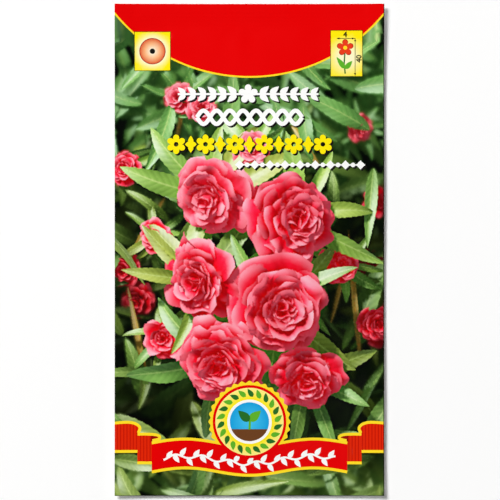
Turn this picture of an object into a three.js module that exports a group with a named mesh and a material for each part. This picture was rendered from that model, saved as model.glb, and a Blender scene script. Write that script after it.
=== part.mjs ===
// A retail seed packet lying on its back.
// Two webs of laminated paper are heat-sealed to each other along all four edges. The belly
// between them holds a small batch of loose flower seeds, which has slid towards the lower
// end, so the front stands highest there and tapers off towards the top.
// Units are millimetres. X runs across the packet, Y runs up its printed front, Z is up. The
// origin is on the table, under the middle of the packet.

import * as THREE from "three";

// Driving sizes
const PACKET_WIDTH = 80;
const PACKET_HEIGHT = 146;
const SHEET_THICKNESS = 0.15;
const SIDE_SEAL_WIDTH = 5;
const END_SEAL_WIDTH = 7;
const SEAL_HEIGHT = 0.9; // of the bond between the sheets, over the table
const FRONT_RISE = 2.2; // of the front sheet over the bond, at its highest
const LOWER_RAMP = 30; // length over which the front climbs from the lower seal
const UPPER_RAMP = 85; // length over which it comes down to the upper seal
const BACK_RAMP = 13; // width over which the back sheet comes down to the table
const CORNER_LIFT = 0.7; // of the four corners, where the stiff seals curl up
const EDGE_WAVE = 0.15; // of the long edges, up and down
const EDGE_WAVE_LENGTH = 58;

const SEED_COUNT = 24;
const SEED_LENGTH = 2.9;
const SEED_WIDTH = 2.3;
const SEED_DEPTH = 2.0;
const SEED_CLEARANCE = 0.1; // over the back sheet
const SEED_TAPER = 0.16; // how much narrower the pointed end is
const SEED_SPIN = 2.3; // turns of a seed about itself for each turn round the batch
const BATCH_CENTRE_Y = -36;
const BATCH_HALF_WIDTH = 14;
const BATCH_HALF_LENGTH = 13;

// Worked out from them
const HALF_WIDTH = PACKET_WIDTH / 2;
const HALF_HEIGHT = PACKET_HEIGHT / 2;
const BELLY_HALF_WIDTH = HALF_WIDTH - SIDE_SEAL_WIDTH;
const BELLY_HALF_HEIGHT = HALF_HEIGHT - END_SEAL_WIDTH;

// How finely the sheets are faceted
const CELLS_ACROSS_BELLY = 14;
const CELLS_ALONG_BELLY = 26;
const SEED_SIDES = 10;
const SEED_RINGS = 7;

const GOLDEN_ANGLE = Math.PI * (3 - Math.sqrt(5));

const share = (value) => THREE.MathUtils.clamp(value, 0, 1);
const smooth = (value) => THREE.MathUtils.smoothstep(value, 0, 1);
const quarterSine = (value) => Math.sin((share(value) * Math.PI) / 2);

// Height of the bond line between the two sheets, which the seals keep all round the edge.
function bondHeight(x, y) {
  const towardsSide = Math.abs(x) / HALF_WIDTH;
  const towardsEnd = Math.abs(y) / HALF_HEIGHT;
  const curl = CORNER_LIFT * towardsSide ** 3 * towardsEnd ** 4;
  const wave = EDGE_WAVE * towardsSide ** 2 * Math.sin((2 * Math.PI * y) / EDGE_WAVE_LENGTH);
  return SEAL_HEIGHT + curl + wave;
}

// How far the front sheet stands over the bond line.
function frontBulge(x, y) {
  const across = share(1 - (x / BELLY_HALF_WIDTH) ** 2);
  const up = quarterSine((y + BELLY_HALF_HEIGHT) / LOWER_RAMP);
  const down = quarterSine((BELLY_HALF_HEIGHT - y) / UPPER_RAMP);
  return FRONT_RISE * across * up * down;
}

// 0 on the seals and 1 where the back sheet lies on the table.
function backSettled(x, y) {
  const acrossShare = smooth((BELLY_HALF_WIDTH - Math.abs(x)) / BACK_RAMP);
  const alongShare = smooth((BELLY_HALF_HEIGHT - Math.abs(y)) / BACK_RAMP);
  return acrossShare * alongShare;
}

const frontUnderside = (x, y) => bondHeight(x, y) + frontBulge(x, y);
const backUnderside = (x, y) =>
  (bondHeight(x, y) - SHEET_THICKNESS) * (1 - backSettled(x, y));

// Grid lines over one side of the packet: one cell on each seal, equal cells over the belly.
function gridLines(half, bellyHalf, cells) {
  const belly = Array.from(
    { length: cells + 1 },
    (_, i) => -bellyHalf + (2 * bellyHalf * i) / cells,
  );
  return [-half, ...belly, half];
}

// A sheet of even thickness over a height field, closed round its rim.
function sheetGeometry(underside) {
  const xs = gridLines(HALF_WIDTH, BELLY_HALF_WIDTH, CELLS_ACROSS_BELLY);
  const ys = gridLines(HALF_HEIGHT, BELLY_HALF_HEIGHT, CELLS_ALONG_BELLY);
  const positions = [];
  for (const lift of [0, SHEET_THICKNESS]) {
    for (const y of ys) {
      for (const x of xs) positions.push(x, y, underside(x, y) + lift);
    }
  }
  const lower = (i, j) => j * xs.length + i;
  const upper = (i, j) => lower(i, j) + xs.length * ys.length;
  const faces = [];
  for (let j = 0; j < ys.length - 1; j++) {
    for (let i = 0; i < xs.length - 1; i++) {
      faces.push(upper(i, j), upper(i + 1, j), upper(i + 1, j + 1));
      faces.push(upper(i, j), upper(i + 1, j + 1), upper(i, j + 1));
      faces.push(lower(i, j), lower(i + 1, j + 1), lower(i + 1, j));
      faces.push(lower(i, j), lower(i, j + 1), lower(i + 1, j + 1));
    }
  }
  const wall = ([i0, j0], [i1, j1]) => {
    faces.push(lower(i0, j0), lower(i1, j1), upper(i1, j1));
    faces.push(lower(i0, j0), upper(i1, j1), upper(i0, j0));
  };
  const lastI = xs.length - 1;
  const lastJ = ys.length - 1;
  for (let i = 0; i < lastI; i++) {
    wall([i, 0], [i + 1, 0]);
    wall([i + 1, lastJ], [i, lastJ]);
  }
  for (let j = 0; j < lastJ; j++) {
    wall([lastI, j], [lastI, j + 1]);
    wall([0, j + 1], [0, j]);
  }
  const geometry = new THREE.BufferGeometry();
  geometry.setAttribute("position", new THREE.Float32BufferAttribute(positions, 3));
  geometry.setIndex(faces);
  geometry.computeVertexNormals();
  return geometry;
}

// An egg lying on its side, pointed towards +X.
function seedGeometry() {
  const geometry = new THREE.SphereGeometry(0.5, SEED_SIDES, SEED_RINGS);
  geometry.rotateZ(-Math.PI / 2);
  const position = geometry.getAttribute("position");
  for (let i = 0; i < position.count; i++) {
    const along = position.getX(i);
    const girth = 1 - 2 * SEED_TAPER * along;
    position.setXYZ(
      i,
      SEED_LENGTH * along,
      SEED_WIDTH * girth * position.getY(i),
      SEED_DEPTH * girth * position.getZ(i),
    );
  }
  geometry.computeVertexNormals();
  geometry.computeBoundingBox();
  return geometry;
}

const frontPrint = new THREE.MeshStandardMaterial({
  color: 0xd32a35,
  roughness: 0.35,
  metalness: 0,
});
const backPrint = new THREE.MeshStandardMaterial({
  color: 0xf1efe6,
  roughness: 0.45,
  metalness: 0,
});
const seedCoat = new THREE.MeshStandardMaterial({
  color: 0x4a2f1c,
  roughness: 0.7,
  metalness: 0,
});

function sheet(name, underside, material) {
  const mesh = new THREE.Mesh(sheetGeometry(underside), material);
  mesh.name = name;
  return mesh;
}

// The batch is spread as a sunflower head is: each seed turns on by the golden angle, and its
// distance grows with the square root of its number.
function seedBatch() {
  const batch = new THREE.Group();
  const geometry = seedGeometry();
  const lowest = geometry.boundingBox.min.z;
  batch.position.set(0, BATCH_CENTRE_Y, SHEET_THICKNESS + SEED_CLEARANCE - lowest);
  for (let i = 0; i < SEED_COUNT; i++) {
    const turn = i * GOLDEN_ANGLE;
    const reach = Math.sqrt((i + 0.5) / SEED_COUNT);
    const seed = new THREE.Mesh(geometry, seedCoat);
    seed.name = `seed_${String(i + 1).padStart(2, "0")}`;
    seed.position.x = BATCH_HALF_WIDTH * reach * Math.cos(turn);
    seed.position.y = BATCH_HALF_LENGTH * reach * Math.sin(turn);
    seed.rotation.z = SEED_SPIN * turn;
    batch.add(seed);
  }
  return batch;
}

const packet = new THREE.Group();
packet.name = "seed_packet";
packet.add(sheet("front_sheet", frontUnderside, frontPrint));
packet.add(sheet("back_sheet", backUnderside, backPrint));
packet.add(seedBatch());

export default packet;
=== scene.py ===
"""A retail seed packet lying on its back, printed face up.

Two webs of laminated paper are heat-sealed along all four edges, with loose flower seeds between
them. The front shows garden blooms over a leafy bed, a red header, a ribbon and a round seal. Its
picture is made as a photograph is: petals and leaves are curved blades, lit by a sun and the sky
and looked at from the front, and the ink at each point of the sheet is what is seen there.

Functions that shape things work in millimetres, with X across the packet, Y up its front and Z up
from the table. Blender's objects and the panel are in metres.
"""

import math

import bpy
import numpy as np
from bpy.props import FloatProperty, FloatVectorProperty, IntProperty, PointerProperty
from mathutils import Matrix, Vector
from mathutils.bvhtree import BVHTree
from mathutils.geometry import delaunay_2d_cdt


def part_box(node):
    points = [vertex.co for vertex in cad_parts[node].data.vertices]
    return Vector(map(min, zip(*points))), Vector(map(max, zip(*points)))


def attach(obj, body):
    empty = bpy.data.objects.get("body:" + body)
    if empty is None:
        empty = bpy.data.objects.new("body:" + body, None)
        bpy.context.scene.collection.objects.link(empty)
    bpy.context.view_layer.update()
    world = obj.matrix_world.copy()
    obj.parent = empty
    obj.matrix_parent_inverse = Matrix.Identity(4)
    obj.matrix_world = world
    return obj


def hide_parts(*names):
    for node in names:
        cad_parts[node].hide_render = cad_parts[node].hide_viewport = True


bl_info = {
    "name": "Seed packet",
    "version": (1, 0, 0),
    "blender": (4, 5, 0),
    "location": "3D View > Sidebar > Seed packet",
    "description": "Builds a printed seed packet, the seeds in it and a small studio round it",
    "category": "Object",
}

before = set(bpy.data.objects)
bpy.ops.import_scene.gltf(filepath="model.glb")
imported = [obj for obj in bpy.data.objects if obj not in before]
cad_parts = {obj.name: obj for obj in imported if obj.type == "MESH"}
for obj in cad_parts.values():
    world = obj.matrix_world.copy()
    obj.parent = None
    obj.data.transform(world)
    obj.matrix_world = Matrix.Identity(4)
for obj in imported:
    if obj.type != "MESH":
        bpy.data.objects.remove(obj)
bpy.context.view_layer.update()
MM = 0.001

# The packet's shape, as its frame has it
HALF_WIDTH, HALF_HEIGHT = np.array(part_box("front_sheet")[1])[:2] / MM
SHEET_THICKNESS = 0.15
SIDE_SEAL_WIDTH = 5
END_SEAL_WIDTH = 7
SEAL_HEIGHT = 0.9
FRONT_RISE = 2.2
LOWER_RAMP = 30
UPPER_RAMP = 85
BACK_RAMP = 13
CORNER_LIFT = 0.7
EDGE_WAVE = 0.15
EDGE_WAVE_LENGTH = 58
BELLY_HALF_WIDTH = HALF_WIDTH - SIDE_SEAL_WIDTH
BELLY_HALF_HEIGHT = HALF_HEIGHT - END_SEAL_WIDTH

GOLDEN_ANGLE = math.pi * (3 - math.sqrt(5))
HAIR = 1e-4


def mix(first, second, share):
    return first + (second - first) * share


def smooth(low, high, value):
    share = np.clip((value - low) / (high - low), 0, 1)
    return share * share * (3 - 2 * share)


def unit(vectors):
    length = np.linalg.norm(vectors, axis=-1, keepdims=True)
    return vectors / np.maximum(length, 1e-9)


def ink(red, green, blue):
    """The linear colour of a printer's swatch given as 0 to 255."""
    display = np.array([red, green, blue]) / 255
    low = display / 12.92
    high = ((display + 0.055) / 1.055) ** 2.4
    return np.where(display <= 0.04045, low, high)


def new_object(name, data):
    made = bpy.data.objects.new(name, data)
    bpy.context.scene.collection.objects.link(made)
    return made


# Curved blades: the petals and leaves of the picture

PETAL_ROWS, PETAL_COLUMNS = 17, 17
LEAF_ROWS, LEAF_COLUMNS = 25, 5
LEAVES_ROUND_BLOOM = 8


def column(values):
    """One value for each blade, shaped to stand against their grids."""
    return np.asarray(values, float).reshape(-1, 1, 1)


def blade_grid(rows, columns):
    """How far along a blade each of its rows lies, and how far across it, from -1 to 1, each of
    its columns."""
    return np.linspace(0, 1, rows)[None, :, None], np.linspace(-1, 1, columns)[None, None, :]


def run_along(steps):
    """Where a midrib has come to after each of its steps, starting from nought."""
    halfway = (steps[:, 1:] + steps[:, :-1]) / 2
    start = np.zeros_like(steps[:, :1])
    return np.concatenate([start, np.cumsum(halfway, axis=1)], axis=1)


class Garden:
    """Every blade of the picture, as grids of points with their inks."""

    def __init__(self):
        self.points, self.normals, self.places = [], [], []
        self.blades, self.triangles = [], []
        self.inks, self.edge_inks, self.leafy, self.phases = [], [], [], []
        self.point_count = self.blade_count = 0

    def plant(self, grids, along, across, inks, edge_inks, leafy, phases):
        """Adds blades: grids has one grid of points for each, (blades, rows, columns, 3)."""
        count, rows, columns, _ = grids.shape
        down = np.gradient(grids, axis=1)
        right = np.gradient(grids, axis=2)
        self.points.append(grids.reshape(-1, 3))
        self.normals.append(unit(np.cross(right, down)).reshape(-1, 3))
        place = np.stack(np.broadcast_arrays(along, across), axis=-1)
        self.places.append(np.broadcast_to(place, (count, rows, columns, 2)).reshape(-1, 2))
        number = self.point_count + np.arange(count * rows * columns).reshape(count, rows, columns)
        corners = [number[:, :-1, :-1], number[:, 1:, :-1], number[:, 1:, 1:], number[:, :-1, 1:]]
        for pick in ((0, 1, 2), (0, 2, 3)):
            self.triangles.append(np.stack([corners[i] for i in pick], -1).reshape(-1, 3))
            blade = self.blade_count + np.arange(count)
            self.blades.append(np.repeat(blade, (rows - 1) * (columns - 1)))
        self.inks.append(np.broadcast_to(inks, (count, 3)))
        self.edge_inks.append(np.broadcast_to(edge_inks, (count, 3)))
        self.leafy.append(np.full(count, leafy))
        self.phases.append(phases)
        self.point_count += count * rows * columns
        self.blade_count += count

    def gather(self):
        """Joins what was planted, and makes the tree that rays are cast into."""
        for name in ("points", "normals", "places", "blades", "triangles", "inks", "edge_inks",
                     "leafy", "phases"):
            setattr(self, name, np.concatenate(getattr(self, name)))
        self.tree = BVHTree.FromPolygons(
            self.points.tolist(), self.triangles.tolist(), all_triangles=True
        )


def plant_bloom(garden, rng, bloom, petal_ink, edge_ink):
    """A layered rosette: small upright petals in its heart, wide leaning ones round it."""
    x, y, height, radius, petal_count = bloom
    # The petals' places in the spiral, their sizes and how they lean, from the heart outwards
    rank = (np.arange(petal_count) + 0.5) / petal_count
    vary = lambda spread: rng.normal(0, spread, petal_count)
    azimuth = GOLDEN_ANGLE * np.arange(petal_count) + vary(0.3)
    length = radius * mix(0.42, 0.98, rank**0.8) * (1 + vary(0.08))
    half_width = length * mix(0.55, 0.74, rank) * (1 + vary(0.1))
    lean_low = mix(0.1, 1.0, rank) + vary(0.1)
    lean_tip = mix(-0.3, 1.8, rank**0.8) + vary(0.28)
    cup = mix(0.7, -0.1, rank) + vary(0.15)
    foot = radius * 0.05
    base = -radius * 0.42 * rank
    phase = rng.uniform(0, math.tau, petal_count)

    # Their curved grids: the midrib bends outwards, and the rim has a notch and a frill
    along, across = blade_grid(PETAL_ROWS, PETAL_COLUMNS)
    shoulder = 1 - 0.34 * np.abs(across) ** 3
    lean = mix(column(lean_low), column(lean_tip), (along * shoulder) ** 1.4)
    lean = lean + column(rng.uniform(0.2, 1.1, petal_count)) * along**7
    step = column(length) * shoulder / (PETAL_ROWS - 1)
    reach = run_along(np.sin(lean) * step)
    rise = run_along(np.cos(lean) * step)
    width = column(half_width) * along**0.6 * (1 - 0.1 * along**4)
    notch = 0.09 * column(length) * np.exp(-((across / 0.3) ** 2)) * along**5
    frill = np.sin(across * 4.2 + column(phase) + 1.5 * along)
    frill = frill + 0.55 * np.sin(across * 8.5 - column(phase) * 2.3 + 2 * along)
    frill = frill * 0.075 * column(length) * smooth(0.2, 1, along) * (0.4 + 0.6 * np.abs(across))
    lift = column(cup) * width * across**2 + frill
    outward = foot + reach - np.cos(lean) * lift - np.sin(lean) * notch
    upward = column(base) + rise + np.sin(lean) * lift - np.cos(lean) * notch
    sideways = width * across + 0.12 * reach * np.sin(column(phase) * 3)
    cos, sin = np.cos(column(azimuth)), np.sin(column(azimuth))
    local = np.stack(
        [outward * cos - sideways * sin, outward * sin + sideways * cos,
         np.broadcast_to(upward, outward.shape)], axis=-1
    )
    # The whole bloom leans away from the middle of the picture
    tilt = rng.uniform(0.2, 0.7)
    heading = math.atan2(y * 0.3 - 4, x * 0.9) + rng.normal(0, 0.5)
    axis = unit(np.array([math.sin(tilt) * math.cos(heading),
                          math.sin(tilt) * math.sin(heading), math.cos(tilt)]))
    side = unit(np.cross([0.0, 1.0, 0.0], axis))
    turned = local @ np.stack([side, np.cross(axis, side), axis])
    garden.plant(
        turned + np.array([x, y, height]), along, across,
        petal_ink * (1 + 0.08 * rng.normal(size=(petal_count, 1))), edge_ink, False, phase,
    )


def plant_leaves(garden, rng, foot, heading, pitch, length, half_width, leaf_ink, edge_ink):
    """Pointed leaves with toothed edges, each folded a little along its midrib."""
    count = len(foot)
    along, across = blade_grid(LEAF_ROWS, LEAF_COLUMNS)
    phase = rng.uniform(0, math.tau, count)
    # The midrib bends down and turns as it goes, and the blade rolls a little to one side
    climb = column(pitch) - column(rng.uniform(0.3, 1.3, count)) * along**1.5
    turn = column(heading) + column(rng.normal(0, 0.35, count)) * along
    step = column(length) / (LEAF_ROWS - 1)
    level = np.cos(climb)
    ahead = np.stack([np.cos(turn) * level, np.sin(turn) * level, np.sin(climb)], -1)
    midrib = run_along(ahead * step[..., None])
    side = np.stack([-np.sin(turn), np.cos(turn), np.zeros_like(turn)], -1)
    up = np.cross(ahead, side)
    roll = column(rng.normal(0, 0.45, count))[..., None]
    side, up = side * np.cos(roll) + up * np.sin(roll), up * np.cos(roll) - side * np.sin(roll)
    width = column(half_width) * np.sin(math.pi * along**0.8) ** 0.8
    teeth = 1 - 0.07 * (np.arange(LEAF_ROWS) % 2)[None, :, None] * (np.abs(across) > 0.9)
    fold = column(rng.uniform(0.1, 0.45, count)) * np.abs(across) * width
    ripple = 0.12 * width * across**2 * np.sin(9 * along + column(phase))
    grids = (midrib + side * (width * teeth * across)[..., None] + up * (fold + ripple)[..., None]
             + np.asarray(foot)[:, None, None, :])
    garden.plant(grids, along, across, leaf_ink, edge_ink, True, phase)


# The picture: what is seen of the garden from the front

PICTURE_STEP = 0.2
PICTURE_TOP = 62
SUN = unit(np.array([-0.5, 0.62, 0.8]))
SUNLIGHT = np.array([1.0, 0.95, 0.86])
SKYLIGHT = np.array([0.85, 0.93, 1.0])
SKY_RAYS = 5
TILE = 3
CONTRAST = 0.85
CRISPNESS = 0.35

# The height that rays look down from, how far each kind reaches, and how far off a blade the
# ones to the sky and the sun start
LOOK_HEIGHT = 60
LOOK_REACH = 200
SKY_REACH = 16
SUN_REACH = 70
RAY_GAP = 0.05

# Heights over which the garden goes soft, and the widths of the soft and the crisp blur in pixels
SHARP_DOWN_TO = -9
SOFT_FROM = -22
SOFT_BLUR = 1.8
CRISP_BLUR = 1.4

# Large blooms, then small ones: across, up, height over the bed, radius, petals
LARGE_BLOOMS = [
    (-11, 16, 5, 14, 36),
    (13, 9, 8, 15, 40),
    (-14, -9, 8, 14, 36),
    (9, -17, 12, 15.5, 42),
    (-8, -33, 9, 14.5, 38),
    (17, -38, 5, 12, 34),
]
SMALL_BLOOMS = [
    (1, 30, -2, 7, 26),
    (27, -4, -5, 7, 24),
    (-28, 4, -6, 6, 22),
    (-25, -26, -5, 7, 24),
    (-21, 45, -12, 6, 20),
    (-14, 42, -10, 5, 18),
    (-37, 24, -10, 6, 20),
    (-37, -6, -14, 6, 20),
    (-33, -15, -16, 6.5, 22),
    (37, -4, -18, 6, 20),
    (38, -22, -12, 7, 24),
    (33, 36, -16, 5, 18),
    (38, 14, -16, 5, 18),
]

# Layers of leaves under the blooms: height, and how far apart their feet stand
BED_LAYERS = ((-16, 9), (-26, 8), (-38, 8))

# Bare stems: across, up and height of the foot, heading in degrees, length
STEMS = [
    (-30, -42, -14, 100, 34),
    (24, -22, -12, 72, 30),
    (33, -34, -13, 96, 40),
    (-22, 30, -14, 82, 28),
    (22, 22, -13, 118, 26),
    (-36, -4, -12, 64, 26),
]


def plant_picture(settings):
    """The garden that the picture shows: blooms in a zigzag over layers of leaves."""
    rng = np.random.default_rng(settings.picture_seed)
    garden = Garden()
    petal_ink, leaf_ink = np.array(settings.petal_ink), np.array(settings.leaf_ink)
    crimson, blush, pale = ink(222, 26, 56), ink(250, 140, 152), ink(255, 180, 190)
    for number, bloom in enumerate(LARGE_BLOOMS):
        petal = mix(petal_ink, crimson, rng.uniform(0, 0.5))
        petal = mix(petal, blush, 0.15 if bloom[1] > 12 else 0.0)
        plant_bloom(garden, rng, bloom, petal, pale)
    for bloom in SMALL_BLOOMS:
        petal = mix(crimson, petal_ink, rng.uniform(0, 1))
        petal = mix(petal, blush, 0.4 if bloom[1] > 28 else 0.0)
        plant_bloom(garden, rng, bloom, petal, pale)

    spring, olive, pine = ink(120, 158, 52), ink(128, 118, 34), ink(34, 92, 56)
    emerald, vein = ink(6, 116, 66), ink(186, 206, 140)
    for bloom in LARGE_BLOOMS + SMALL_BLOOMS:
        x, y, height, radius, _ = bloom
        count = LEAVES_ROUND_BLOOM
        heading = rng.uniform(0, math.tau) + np.arange(count) * math.tau / count
        heading = heading + rng.normal(0, 0.25, count)
        foot = np.stack([x + radius * 0.3 * np.cos(heading), y + radius * 0.3 * np.sin(heading),
                         np.full(count, height - radius * 0.55)], 1)
        length = radius * rng.uniform(1.3, 1.9, count)
        shade = mix(leaf_ink, spring, rng.uniform(0, 1, (count, 1)) * smooth(-30, 20, y))
        shade = mix(shade, olive, rng.uniform(0, 1, (count, 1)) ** 2 * smooth(40, 15, y))
        shade = mix(shade, emerald, 0.95 * smooth(22, 38, y))
        plant_leaves(garden, rng, foot, heading, rng.uniform(-0.1, 0.5, count), length,
                     length * rng.uniform(0.09, 0.15, count), shade, vein)
    for height, spacing in BED_LAYERS:
        xs, ys = np.meshgrid(np.arange(-48, 49, spacing), np.arange(-80, 66, spacing))
        xs = (xs + rng.uniform(-4, 4, xs.shape)).ravel()
        ys = (ys + rng.uniform(-4, 4, ys.shape)).ravel()
        count = len(xs)
        foot = np.stack([xs, ys, height + rng.uniform(-4, 4, count)], 1)
        length = rng.uniform(16, 30, count)
        shade = mix(pine, spring, rng.uniform(0, 0.7, (count, 1)) ** 2)
        shade = mix(shade, olive, rng.uniform(0, 0.8, (count, 1)) ** 2)
        shade = mix(shade, emerald, 0.95 * smooth(18, 34, ys[:, None]))
        plant_leaves(garden, rng, foot, rng.uniform(0, math.tau, count),
                     rng.uniform(-0.2, 0.7, count), length,
                     length * rng.uniform(0.07, 0.13, count), shade, vein)
    count = len(STEMS)
    x, y, height, heading, length = np.array(STEMS, float).T
    plant_leaves(garden, rng, np.stack([x, y, height], 1), np.radians(heading), np.full(count, 0.2),
                 length, np.full(count, 0.9), ink(176, 112, 44), ink(214, 150, 80))
    garden.gather()
    return garden


def cast(tree, starts, directions, reach):
    """The triangle that each ray meets first, or -1, and how far away it is."""
    found = [tree.ray_cast(start, direction, reach)[2:]
             for start, direction in zip(starts.tolist(), directions.tolist())]
    triangle = np.array([-1 if index is None else index for index, _ in found])
    distance = np.array([reach if far is None else far for _, far in found])
    return triangle, distance


def look_down(tree, across, up):
    """The triangle seen at each place from straight above, or -1, and its height."""
    starts = np.stack([across, up, np.full(len(across), float(LOOK_HEIGHT))], 1)
    down = np.tile([0.0, 0.0, -1.0], (len(across), 1))
    triangle, distance = cast(tree, starts, down, LOOK_REACH)
    return triangle, LOOK_HEIGHT - distance


def sky_directions(count, turn):
    """Directions spread over the half sphere round +Z, thickest overhead."""
    number = np.arange(count)
    radius = np.sqrt((number + 0.5) / count)
    angle = GOLDEN_ANGLE * number + turn
    return np.stack([radius * np.cos(angle), radius * np.sin(angle), np.sqrt(1 - radius**2)], -1)


def around(normals, local):
    """Turns directions given round +Z so that they lie round each normal."""
    helper = np.where(np.abs(normals[:, 2:]) < 0.9, [[0.0, 0.0, 1.0]], [[1.0, 0.0, 0.0]])
    side = unit(np.cross(helper, normals))
    other = np.cross(normals, side)
    return side * local[:, :1] + other * local[:, 1:2] + normals * local[:, 2:]


def neighbours_mean(values, marks):
    """The mean of each pixel's three by three block, over the pixels that bear its mark."""
    total = np.zeros_like(values)
    count = np.zeros_like(values)
    for down in (-1, 0, 1):
        for right in (-1, 0, 1):
            same = np.roll(marks, (down, right), (0, 1)) == marks
            total += np.where(same, np.roll(values, (down, right), (0, 1)), 0)
            count += same
    return total / count


def blurred(image, radius):
    """The image spread by a bell curve of that radius, in pixels."""
    half = int(3 * radius) + 1
    weights = np.exp(-((np.arange(-half, half + 1) / radius) ** 2) / 2)
    weights /= weights.sum()
    for axis in (0, 1):
        padding = [(0, 0)] * image.ndim
        padding[axis] = (half, half)
        padded = np.pad(image, padding, mode="edge")
        length = image.shape[axis]
        image = sum(w * np.take(padded, range(i, i + length), axis) for i, w in enumerate(weights))
    return image


def petal_colour(along, across, main, edge, phase):
    """Deep at the foot and pale at the rim, with fine veins."""
    deep = main**1.25
    body = mix(deep, main, smooth(0.1, 0.75, along))
    rim = smooth(0.8, 1.08, along + 0.2 * across**2)
    body = mix(body, edge, rim * 0.36)
    veins = np.sin(across * 26 + phase * 5 + 3 * np.sin(along * 4 + phase))
    streak = np.sin(across * 5 + phase * 3) * np.sin(along * 5 - phase)
    return body * (1 + 0.07 * veins * (1 - rim) + 0.1 * streak)


def leaf_colour(along, across, main, vein_ink, phase, underside):
    """Green with a pale midrib and side veins, and paler on the underside."""
    main = mix(main, mix(main, ink(176, 200, 130), 0.4), underside)
    side = np.abs(across)
    midrib = np.exp(-((across / 0.07) ** 2))
    rhythm = (along * 11 - side * 1.6 + phase) % 1
    veins = np.exp(-(((rhythm - 0.5) / 0.1) ** 2)) * (1 - side) ** 0.5
    blush = 0.12 * np.sin(along * 7 + phase) + 0.08 * np.sin(across * 3 + phase * 2)
    body = main * (1 + blush + 0.07 * np.sin(rhythm * math.tau))
    return mix(body, vein_ink, np.clip(0.45 * midrib + 0.12 * veins, 0, 1))


def developed(light):
    """The light as a print shows it: deeper shadows, and bright ends that stay short of white."""
    display = (light / (1 + light**3) ** (1 / 3)) ** (1 / 2.2)
    return mix(display, smooth(0, 1, display), CONTRAST) ** 2.2


def share_outlines(picture, marks, garden, across, up):
    """Gives each pixel on a blade's outline its share of every blade that it touches."""
    edge = np.zeros(marks.shape, bool)
    for axis in (0, 1):
        step = marks != np.roll(marks, 1, axis)
        edge |= step | np.roll(step, -1, axis)
    rows, columns = np.nonzero(edge)
    own, total = picture[edge], np.zeros((len(rows), 3))
    for right, higher in ((-0.25, -0.25), (0.25, -0.25), (-0.25, 0.25), (0.25, 0.25)):
        triangle, _ = look_down(garden.tree, across[edge] + right * PICTURE_STEP,
                                up[edge] + higher * PICTURE_STEP)
        blade = np.where(triangle < 0, -1, garden.blades[triangle])
        colour = own.copy()
        for down, aside in np.ndindex(3, 3):
            j = np.clip(rows + down - 1, 0, marks.shape[0] - 1)
            i = np.clip(columns + aside - 1, 0, marks.shape[1] - 1)
            colour = np.where((marks[j, i] == blade)[:, None], picture[j, i], colour)
        total += np.where((marks[rows, columns] == blade)[:, None], own, colour) / 4
    picture[edge] = total


def bed_shade(height, up):
    """How far the bed lies in shade: deep down, and most of all below the blooms."""
    low_down = 0.58 + 0.42 * smooth(38, 4, up)
    return smooth(-3, -20, height) * low_down * (1 - 0.5 * smooth(-56, -70, up))


def surface_at(garden, triangle, place):
    """The blade's normal where it is seen, and how far along and across it that is."""
    corners = garden.triangles[triangle]
    a, b, c = (garden.points[corners[:, i], :2] for i in range(3))
    cross = lambda p, q: p[:, 0] * q[:, 1] - p[:, 1] * q[:, 0]
    whole = cross(b - a, c - a)
    whole = np.where(np.abs(whole) < 1e-9, 1e-9, whole)
    second = cross(place[:, :2] - a, c - a) / whole
    third = cross(b - a, place[:, :2] - a) / whole
    share = np.stack([1 - second - third, second, third], 1)[:, :, None]
    normal = unit((garden.normals[corners] * share).sum(1))
    along, side = (garden.places[corners] * share).sum(1).T[:, :, None]
    return normal, along, side


def light_at(garden, place, normal, marks, seen):
    """The shares of the sky and of the sun that reach each place. The pixels of a tile cast
    their rays in different directions, and then share what they found with their neighbours."""
    rows, columns = np.unravel_index(seen, marks.shape)
    tile = (rows % TILE) * TILE + columns % TILE
    start = place + normal * RAY_GAP
    sky = np.zeros(len(seen))
    turns = math.tau * np.arange(TILE**2) / TILE**2
    fans = np.stack([sky_directions(SKY_RAYS, turn) for turn in turns])
    for ray in range(SKY_RAYS):
        met, _ = cast(garden.tree, start, around(normal, fans[tile, ray]), SKY_REACH)
        sky += (met < 0) / SKY_RAYS
    jitter = sky_directions(TILE**2, 0)[tile] * [0.06, 0.06, 0]
    met, _ = cast(garden.tree, start, unit(SUN + jitter), SUN_REACH)
    light = np.zeros((marks.size, 2))
    light[seen, 0] = sky
    light[seen, 1] = met < 0
    light = light.reshape(*marks.shape, 2)
    return [neighbours_mean(light[..., i], marks).ravel()[seen, None] for i in range(2)]


def sent_up(colour, leafy, normal, place, sky, sun):
    """The light that comes up from each place: of the sun on its face and through it from
    behind, of the sky, of the blades round it, and from its gloss."""
    _, up, height = place.T[:, :, None]
    deep_bed = bed_shade(height, up)
    sun = sun * (1 - 0.93 * deep_bed)
    sky = sky * (1 - 0.88 * deep_bed)
    facing = normal @ SUN[:, None]
    front = np.clip(facing, 0, 1)
    through = np.clip(-facing, 0, 1) * np.where(leafy, 0.55, 0.85)
    strength = np.where(leafy, mix(1.15, 1.4, smooth(6, 24, up)), 1.65)
    light = colour * SUNLIGHT * strength * sun * front
    light += colour**1.3 * SUNLIGHT * 1.9 * sun * through
    light += colour * SKYLIGHT * np.where(leafy, 0.42, 0.46) * sky
    light += colour**1.4 * 0.5 * (1 - sky) * (1 - 0.9 * deep_bed)
    halfway = unit(SUN + [0, 0, 1])
    shine = np.clip(normal @ halfway[:, None], 0, 1)
    light += np.where(leafy, 0.34 * shine**16, 0.1 * shine**20) * sun * SKYLIGHT
    light += np.where(leafy, 0.12, 0.02) * (1 - normal[:, 2:]) ** 2 * sky * SKYLIGHT
    return light


def focused(picture, height):
    """The picture with what lies deep in the bed a little out of focus."""
    far = (height < SHARP_DOWN_TO).astype(float)[..., None]
    soft = blurred(picture * far, SOFT_BLUR) / np.maximum(blurred(far, SOFT_BLUR), 1e-3)
    amount = smooth(SHARP_DOWN_TO, SOFT_FROM, height)[..., None]
    return mix(picture, soft, amount * far)


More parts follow.
